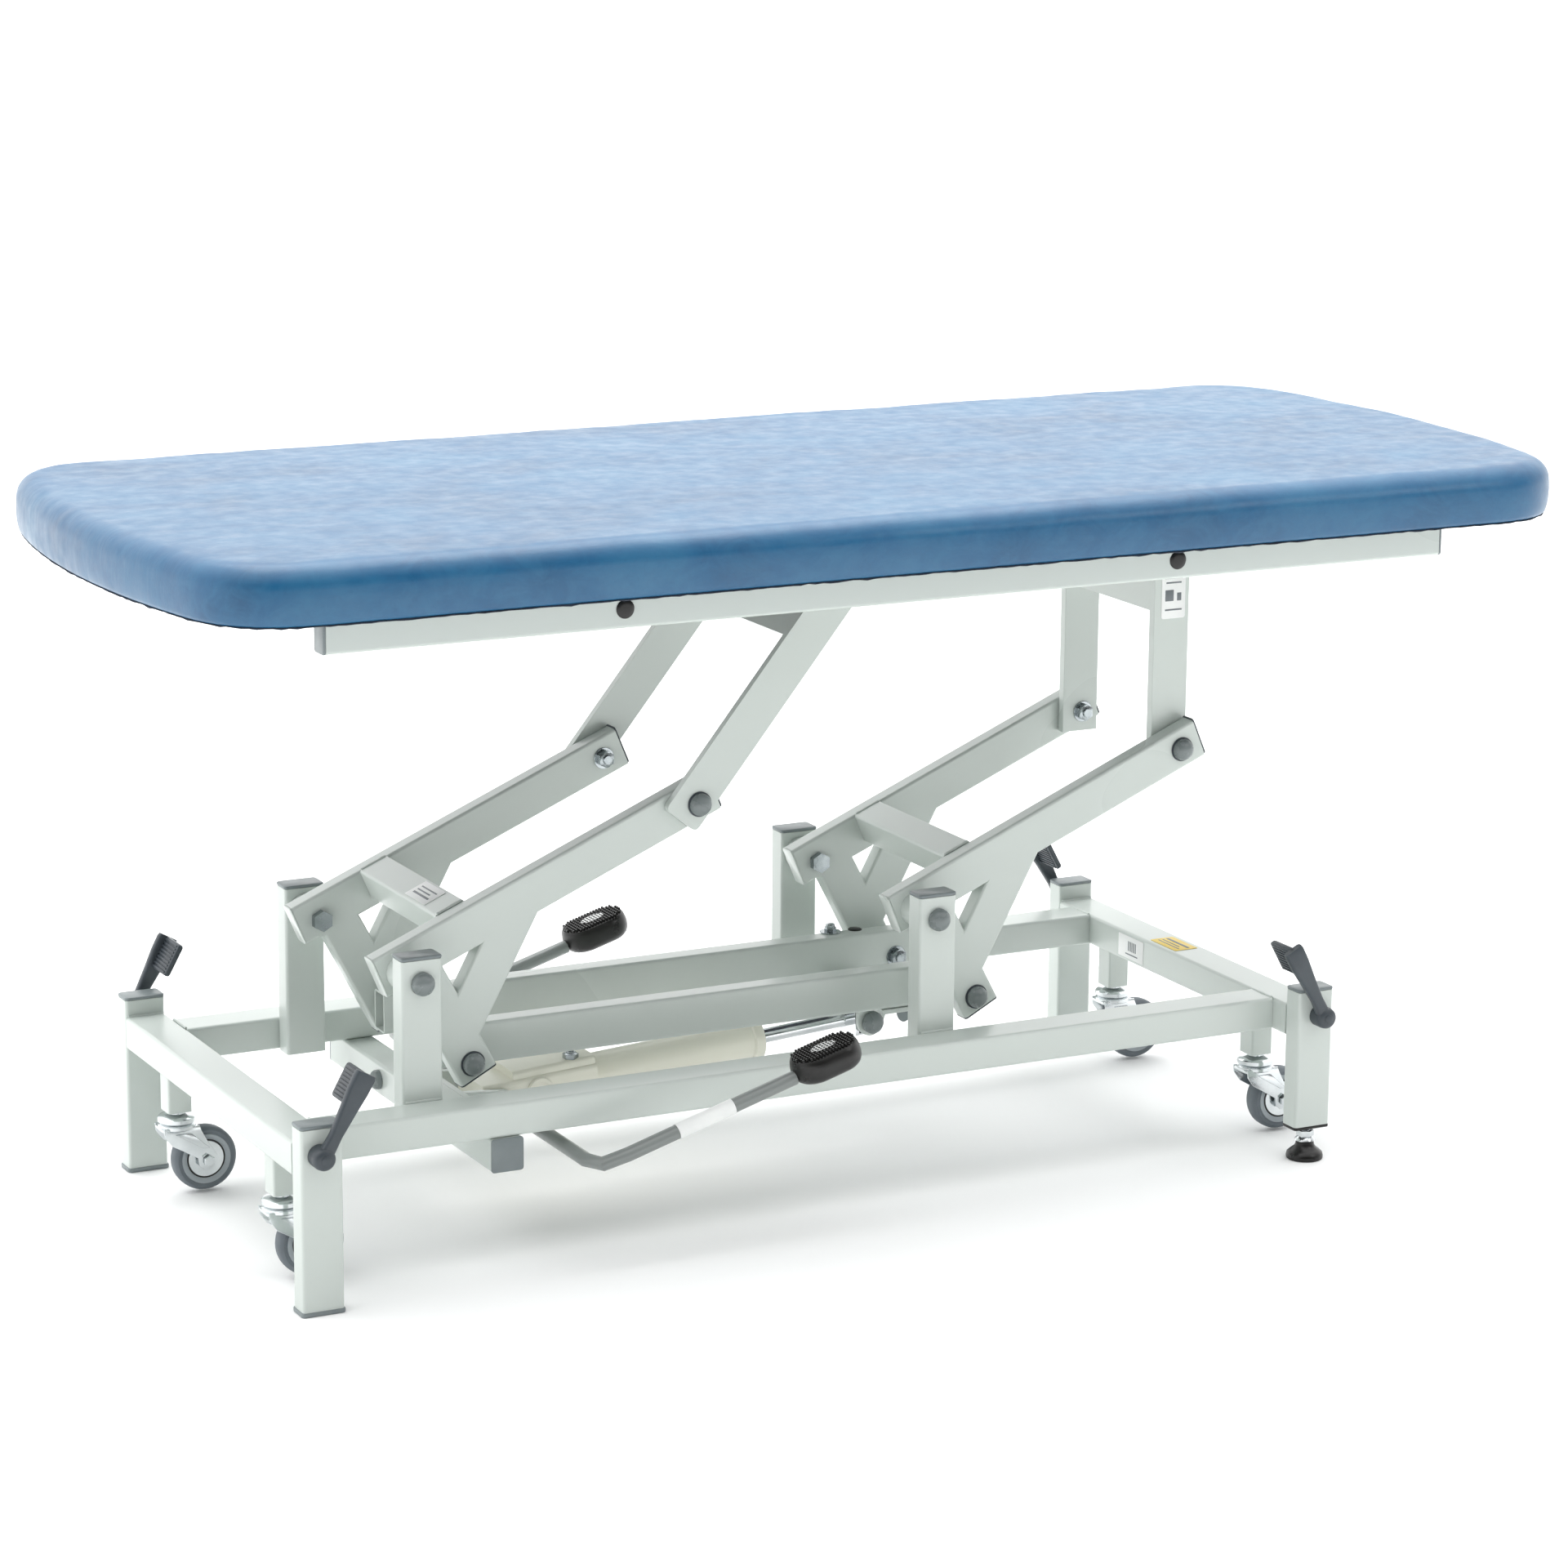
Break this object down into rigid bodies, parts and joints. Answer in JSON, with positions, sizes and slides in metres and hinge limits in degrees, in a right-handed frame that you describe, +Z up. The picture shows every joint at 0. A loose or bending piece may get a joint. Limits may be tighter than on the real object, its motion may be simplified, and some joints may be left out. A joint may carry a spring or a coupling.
{
  "type": "medical exam couch",
  "caption": "Height-adjustable medical exam couch: padded one-piece top on twin lifting arm pairs worked by a foot-pumped ram, on a tube base with legs and retractable castors.",
  "frame": {"origin": "on the floor under the middle of the padded top, which is also the middle of the whole couch's outline", "axes": "+X along the couch towards the end with the levelling foot, +Z up, -Y towards the side where that foot stands"},
  "size_m": [1.823, 0.768, 0.869],
  "materials": {
    "frame_paint": "gloss",
    "zinc": "satin",
    "chrome": "polished",
    "slate_paint": "satin",
    "black_rubber": "matte",
    "tyre": "satin",
    "lever_grey": "satin",
    "pump_cream": "satin",
    "vinyl": "satin",
    "plywood": "matte"
  },
  "bodies": {
    "base": {"leg_front_left": "frame_paint", "leg_front_right": "frame_paint", "leg_rear_left": "frame_paint", "leg_rear_right": "frame_paint", "end_rail_left": "frame_paint", "end_rail_right": "frame_paint", "side_rail_front": "frame_paint", "side_rail_rear": "frame_paint", "post_front_left": "frame_paint", "post_front_right": "frame_paint", "post_rear_left": "frame_paint", "post_rear_right": "frame_paint", "pivot_bolt_front_left": "zinc", "pivot_bolt_front_right": "zinc", "pivot_bolt_rear_left": "zinc", "pivot_bolt_rear_right": "zinc", "pump_cross_tube": "frame_paint", "pump_bracket": "frame_paint"},
    "left_arms": {"arm_left_front": "frame_paint", "arm_left_rear": "frame_paint", "arm_cross_tube_left": "frame_paint"},
    "right_arms": {"arm_right_front": "frame_paint", "arm_right_rear": "frame_paint", "arm_cross_tube_right": "frame_paint"},
    "beams": {"tie_beam_front": "frame_paint", "tie_beam_rear": "frame_paint", "ram_bracket": "frame_paint", "ram_pin": "zinc"},
    "top": {"top_rail_front": "frame_paint", "top_rail_rear": "frame_paint", "top_cross_tube_left": "frame_paint", "top_cross_tube_right": "frame_paint", "left_strut_frame": "frame_paint", "right_strut_frame": "frame_paint", "deck_board": "plywood", "cushion": "vinyl"},
    "pump": {"pump_cylinder": "pump_cream"},
    "ram": {"ram_rod": "chrome"},
    "foot_lever": {"foot_lever_front": "lever_grey", "foot_lever_rear": "lever_grey", "pedal_front": "black_rubber", "pedal_rear": "black_rubber"},
    "lever_front_left": {"castor_lever_front_left": "slate_paint"},
    "castor_tube_front_left": {"castor_tube_front_left": "frame_paint"},
    "castor_front_left": {"castor_fork_front_left": "zinc"},
    "wheel_front_left": {"castor_wheel_front_left": "tyre"},
    "lever_front_right": {"castor_lever_front_right": "slate_paint"},
    "castor_tube_front_right": {"castor_tube_front_right": "frame_paint"},
    "castor_front_right": {"castor_fork_front_right": "zinc"},
    "wheel_front_right": {"castor_wheel_front_right": "tyre"},
    "lever_rear_left": {"castor_lever_rear_left": "slate_paint"},
    "castor_tube_rear_left": {"castor_tube_rear_left": "frame_paint"},
    "castor_rear_left": {"castor_fork_rear_left": "zinc"},
    "wheel_rear_left": {"castor_wheel_rear_left": "tyre"},
    "lever_rear_right": {"castor_lever_rear_right": "slate_paint"},
    "castor_tube_rear_right": {"castor_tube_rear_right": "frame_paint"},
    "castor_rear_right": {"castor_fork_rear_right": "zinc"},
    "wheel_rear_right": {"castor_wheel_rear_right": "tyre"},
    "levelling_foot": {"levelling_foot": "black_rubber"}
  },
  "joints": [
    {"name": "lift", "type": "hinge", "parent": "base", "child": "left_arms", "pos_m": [-0.576, 0, 0.3378], "axis": [0, -1, 0], "range_deg": [-48, 10]},
    {"name": "right_arms_swing", "type": "hinge", "parent": "base", "child": "right_arms", "pos_m": [0.0945, 0, 0.3378], "axis": [0, -1, 0], "range_deg": [-48, 10]},
    {"name": "top_level", "type": "hinge", "parent": "left_arms", "child": "top", "pos_m": [-0.203, 0, 0.5003], "axis": [0, -1, 0], "range_deg": [-10, 48]},
    {"name": "beams_level", "type": "hinge", "parent": "left_arms", "child": "beams", "pos_m": [-0.4897, 0, 0.2167], "axis": [0, -1, 0], "range_deg": [-10, 48]},
    {"name": "pump_swing", "type": "hinge", "parent": "base", "child": "pump", "pos_m": [-0.412, 0, 0.131], "axis": [0, -1, 0], "range_deg": [-3.6, 0.75]},
    {"name": "ram_stroke", "type": "slide", "parent": "pump", "child": "ram", "axis": [0.9976, 0, 0.0689], "range_m": [-0.1165, 0.0243]},
    {"name": "foot_pump", "type": "hinge", "parent": "base", "child": "foot_lever", "pos_m": [-0.412, 0, 0.131], "axis": [0, 1, 0], "range_deg": [-8, 18], "stiffness_Nm_per_rad": 100, "springref_deg": -1.43},
    {"name": "lever_front_left_turn", "type": "hinge", "parent": "base", "child": "lever_front_left", "pos_m": [-0.747, -0.3, 0.188], "axis": [0, 1, 0], "range_deg": [0, 60]},
    {"name": "castor_front_left_lower", "type": "slide", "parent": "base", "child": "castor_tube_front_left", "axis": [0, 0, 1], "range_m": [-0.01301, 0]},
    {"name": "castor_front_left_swivel", "type": "hinge", "parent": "castor_tube_front_left", "child": "castor_front_left", "pos_m": [-0.742, -0.175, 0.1], "axis": [0, 0, 1], "continuous": true},
    {"name": "castor_front_left_roll", "type": "hinge", "parent": "castor_front_left", "child": "wheel_front_left", "pos_m": [-0.709, -0.175, 0.043], "axis": [0, 1, 0], "continuous": true},
    {"name": "lever_front_right_turn", "type": "hinge", "parent": "base", "child": "lever_front_right", "pos_m": [0.573, -0.3, 0.188], "axis": [0, -1, 0], "range_deg": [0, 60]},
    {"name": "castor_front_right_lower", "type": "slide", "parent": "base", "child": "castor_tube_front_right", "axis": [0, 0, 1], "range_m": [-0.01301, 0]},
    {"name": "castor_front_right_swivel", "type": "hinge", "parent": "castor_tube_front_right", "child": "castor_front_right", "pos_m": [0.568, -0.175, 0.1], "axis": [0, 0, 1], "continuous": true},
    {"name": "castor_front_right_roll", "type": "hinge", "parent": "castor_front_right", "child": "wheel_front_right", "pos_m": [0.601, -0.175, 0.043], "axis": [0, 1, 0], "continuous": true},
    {"name": "lever_rear_left_turn", "type": "hinge", "parent": "base", "child": "lever_rear_left", "pos_m": [-0.747, 0.3, 0.188], "axis": [0, 1, 0], "range_deg": [0, 60]},
    {"name": "castor_rear_left_lower", "type": "slide", "parent": "base", "child": "castor_tube_rear_left", "axis": [0, 0, 1], "range_m": [-0.01301, 0]},
    {"name": "castor_rear_left_swivel", "type": "hinge", "parent": "castor_tube_rear_left", "child": "castor_rear_left", "pos_m": [-0.742, 0.175, 0.1], "axis": [0, 0, 1], "continuous": true},
    {"name": "castor_rear_left_roll", "type": "hinge", "parent": "castor_rear_left", "child": "wheel_rear_left", "pos_m": [-0.709, 0.175, 0.043], "axis": [0, 1, 0], "continuous": true},
    {"name": "lever_rear_right_turn", "type": "hinge", "parent": "base", "child": "lever_rear_right", "pos_m": [0.573, 0.3, 0.188], "axis": [0, -1, 0], "range_deg": [0, 60]},
    {"name": "castor_rear_right_lower", "type": "slide", "parent": "base", "child": "castor_tube_rear_right", "axis": [0, 0, 1], "range_m": [-0.01301, 0]},
    {"name": "castor_rear_right_swivel", "type": "hinge", "parent": "castor_tube_rear_right", "child": "castor_rear_right", "pos_m": [0.568, 0.175, 0.1], "axis": [0, 0, 1], "continuous": true},
    {"name": "castor_rear_right_roll", "type": "hinge", "parent": "castor_rear_right", "child": "wheel_rear_right", "pos_m": [0.601, 0.175, 0.043], "axis": [0, 1, 0], "continuous": true},
    {"name": "levelling_foot_turn", "type": "hinge", "parent": "base", "child": "levelling_foot", "pos_m": [0.569, -0.2915, 0], "axis": [0, 0, 1], "continuous": true}
  ],
  "couplings": [
    {"joint": "right_arms_swing", "follows": "lift", "ratio": 1},
    {"joint": "top_level", "follows": "lift", "ratio": -1},
    {"joint": "beams_level", "follows": "lift", "ratio": -1},
    {"joint": "pump_swing", "follows": "lift", "ratio": 0.075},
    {"joint": "ram_stroke", "follows": "lift", "m_per_rad": 0.139},
    {"joint": "castor_front_left_lower", "follows": "lever_front_left_turn", "m_per_rad": -0.012414},
    {"joint": "castor_front_right_lower", "follows": "lever_front_right_turn", "m_per_rad": -0.012414},
    {"joint": "castor_rear_left_lower", "follows": "lever_rear_left_turn", "m_per_rad": -0.012414},
    {"joint": "castor_rear_right_lower", "follows": "lever_rear_right_turn", "m_per_rad": -0.012414}
  ]
}
